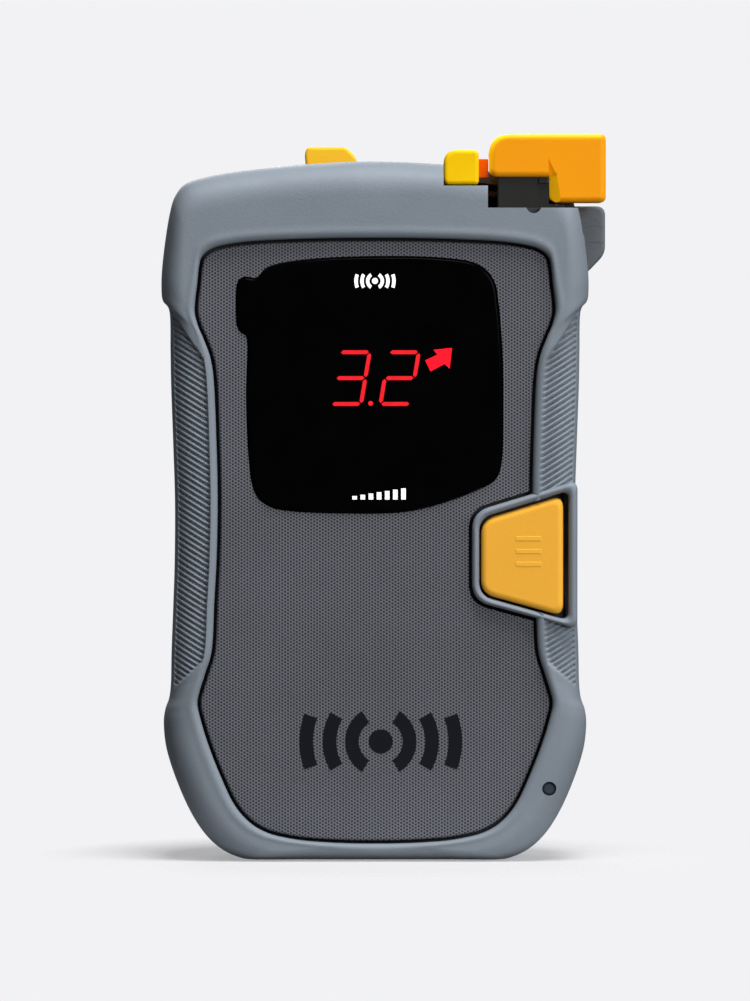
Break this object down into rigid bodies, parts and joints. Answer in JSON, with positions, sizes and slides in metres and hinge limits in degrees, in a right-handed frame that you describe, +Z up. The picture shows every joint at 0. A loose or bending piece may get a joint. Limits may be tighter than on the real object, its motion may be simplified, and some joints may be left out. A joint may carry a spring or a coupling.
{
  "type": "avalanche transceiver",
  "caption": "Palm-sized avalanche transceiver with a rubber-framed case, dark display window, option button, pop-up search switch with lock tab, rear power knob and battery door",
  "frame": {"origin": "middle of the flat bottom of the rubber frame, on the case's left-right symmetry plane", "axes": "+Z up towards the search switch, +X to the right when facing the display, +Y from the display to the battery door"},
  "size_m": [0.0771, 0.028, 0.1253],
  "materials": {
    "frame_rubber": "matte soft-touch grey",
    "panel_weave": "fine woven relief",
    "window_black": "polished smoked window",
    "shell_plastic": "satin",
    "rear_plastic": "fine spark texture",
    "orange_plastic": "satin",
    "tab_plastic": "satin",
    "black_plastic": "satin",
    "seal_rubber": "matte",
    "led_red": "tinted",
    "lens_grey": "polished",
    "steel": "zinc plated",
    "contact_brass": "sprung strip",
    "battery_jacket": "printed steel can",
    "board_green": "solder resist",
    "ferrite": "sintered",
    "coil_copper": "enamelled winding"
  },
  "bodies": {
    "case": {"rubber_frame": "frame_rubber", "front_shell": "shell_plastic", "rear_shell": "rear_plastic", "front_panel": "panel_weave", "display_window": "window_black", "display_mask": "black_plastic", "microcontroller": "black_plastic", "hall_sensor": "black_plastic", "speaker": "black_plastic", "power_switch": "black_plastic", "case_gasket": "seal_rubber", "battery_door_seal": "seal_rubber", "led_digit_ones": "led_red", "led_digit_tenths": "led_red", "led_arrow": "led_red", "indicator_lens": "lens_grey", "case_screw_1": "steel", "case_screw_2": "steel", "case_screw_3": "steel", "case_screw_4": "steel", "case_screw_5": "steel", "case_screw_6": "steel", "option_switch": "steel", "battery_contact_lower": "contact_brass", "battery_contact_upper": "contact_brass", "battery_1": "battery_jacket", "battery_2": "battery_jacket", "battery_3": "battery_jacket", "main_board": "board_green", "antenna_across_rod": "ferrite", "antenna_along_rod": "ferrite", "antenna_deep_rod": "ferrite", "antenna_across_coil": "coil_copper", "antenna_along_coil": "coil_copper", "antenna_deep_coil": "coil_copper"},
    "search_switch": {"search_switch_head": "orange_plastic", "search_switch_shank": "black_plastic", "switch_magnet": "steel"},
    "lock_tab": {"lock_tab": "tab_plastic"},
    "option_button": {"option_button": "orange_plastic"},
    "power_knob": {"power_knob": "orange_plastic", "power_knob_shaft": "steel", "power_knob_ring": "seal_rubber"},
    "battery_door": {"battery_door": "rear_plastic"},
    "battery_door_screw": {"battery_door_screw": "steel"}
  },
  "joints": [
    {"name": "search_switch_slide", "type": "slide", "parent": "case", "child": "search_switch", "axis": [0, 0, 1], "range_m": [-0.0047, 0], "stiffness_N_per_m": 400, "springref_m": 0.003},
    {"name": "lock_tab_slide", "type": "slide", "parent": "case", "child": "lock_tab", "axis": [1, 0, 0], "range_m": [0, 0.0016]},
    {"name": "option_button_press", "type": "slide", "parent": "case", "child": "option_button", "axis": [0, 1, 0], "range_m": [0, 0.0005], "stiffness_N_per_m": 800},
    {"name": "power_knob_turn", "type": "hinge", "parent": "case", "child": "power_knob", "pos_m": [-0.0076, 0.0103, 0.1108], "axis": [0, 1, 0], "range_deg": [-90, 0]},
    {"name": "battery_door_lift", "type": "slide", "parent": "case", "child": "battery_door", "axis": [0, 1, 0], "range_m": [0, 0.03]},
    {"name": "battery_door_screw_turn", "type": "hinge", "parent": "battery_door", "child": "battery_door_screw", "pos_m": [0, 0.014, 0.0624], "axis": [0, 1, 0], "range_deg": [0, 90]}
  ]
}
